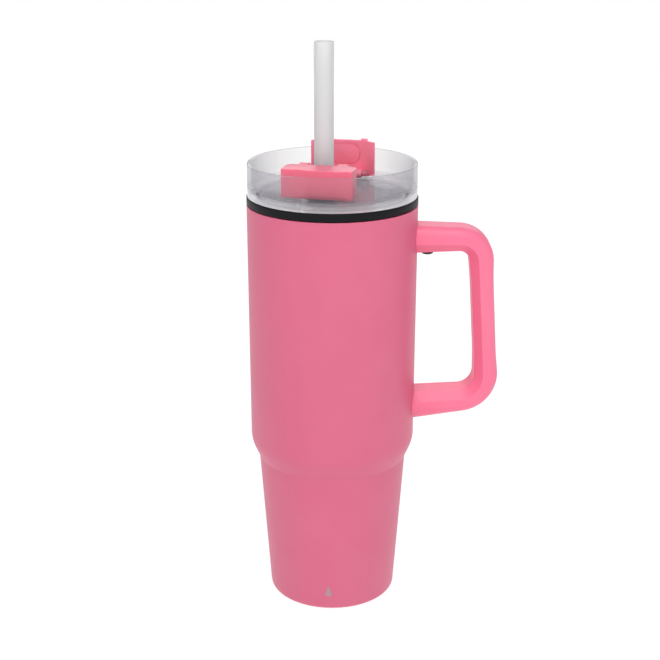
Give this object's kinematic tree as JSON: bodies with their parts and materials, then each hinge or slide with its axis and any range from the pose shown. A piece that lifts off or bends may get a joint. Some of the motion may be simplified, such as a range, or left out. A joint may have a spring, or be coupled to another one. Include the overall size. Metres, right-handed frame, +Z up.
{
  "type": "insulated tumbler with lid",
  "caption": "Tall double-wall steel tumbler with a tapered base, a side handle, a clear lid with two flip caps and a straw.",
  "frame": {"origin": "centre of the resting face of the base, on the body axis", "axes": "+Z up along the body axis to the straw mouth, +X towards the handle, -Y the side seen in front with the handle on the right"},
  "size_m": [0.151, 0.101, 0.3435],
  "materials": {
    "pink_powder_coat": "satin powder coat",
    "bare_steel": "brushed stainless steel",
    "seal_metal": "dull metal",
    "copper_foil": "thin reflective foil",
    "pink_handle": "satin moulded plastic",
    "screw_steel": "plain steel",
    "black_rubber": "matte rubber",
    "clear_lid": "clear moulded plastic",
    "black_plastic": "satin black plastic",
    "white_silicone": "milky silicone",
    "pink_cap": "smooth moulded plastic",
    "pink_silicone": "soft silicone",
    "frosted_straw": "frosted translucent plastic"
  },
  "bodies": {
    "cup": {"outer_shell": "pink_powder_coat", "base_pan": "bare_steel", "vacuum_seal": "seal_metal", "getter": "seal_metal", "reflective_foil": "copper_foil", "inner_liner": "bare_steel", "handle": "pink_handle", "upper_bracket": "bare_steel", "lower_bracket": "bare_steel", "upper_screw": "screw_steel", "lower_screw": "screw_steel", "upper_cover": "black_rubber", "lower_cover": "black_rubber"},
    "lid": {"lid_body": "clear_lid", "lid_band": "black_plastic", "lid_seal": "white_silicone", "straw_sleeve": "white_silicone", "sip_pins": "screw_steel", "drink_pin": "screw_steel"},
    "straw": {"straw": "frosted_straw"},
    "sip_cap": {"sip_cap": "pink_cap", "sip_pad": "pink_silicone"},
    "drink_cap": {"drink_cap": "pink_cap", "drink_pad": "pink_silicone"}
  },
  "joints": [
    {"name": "lid_lift", "type": "slide", "parent": "cup", "child": "lid", "axis": [0, 0, 1], "range_m": [0, 0.27]},
    {"name": "straw_pull", "type": "slide", "parent": "lid", "child": "straw", "axis": [0, 0, 1], "range_m": [0, 0.25]},
    {"name": "sip_flip", "type": "hinge", "parent": "lid", "child": "sip_cap", "pos_m": [-0.00479, -0.01942, 0.272], "axis": [-0.9744, 0.225, 0], "range_deg": [0, 90]},
    {"name": "drink_flip", "type": "hinge", "parent": "lid", "child": "drink_cap", "pos_m": [0.00601, 0.02735, 0.261], "axis": [-0.9744, 0.225, 0], "range_deg": [-90, 0]}
  ]
}
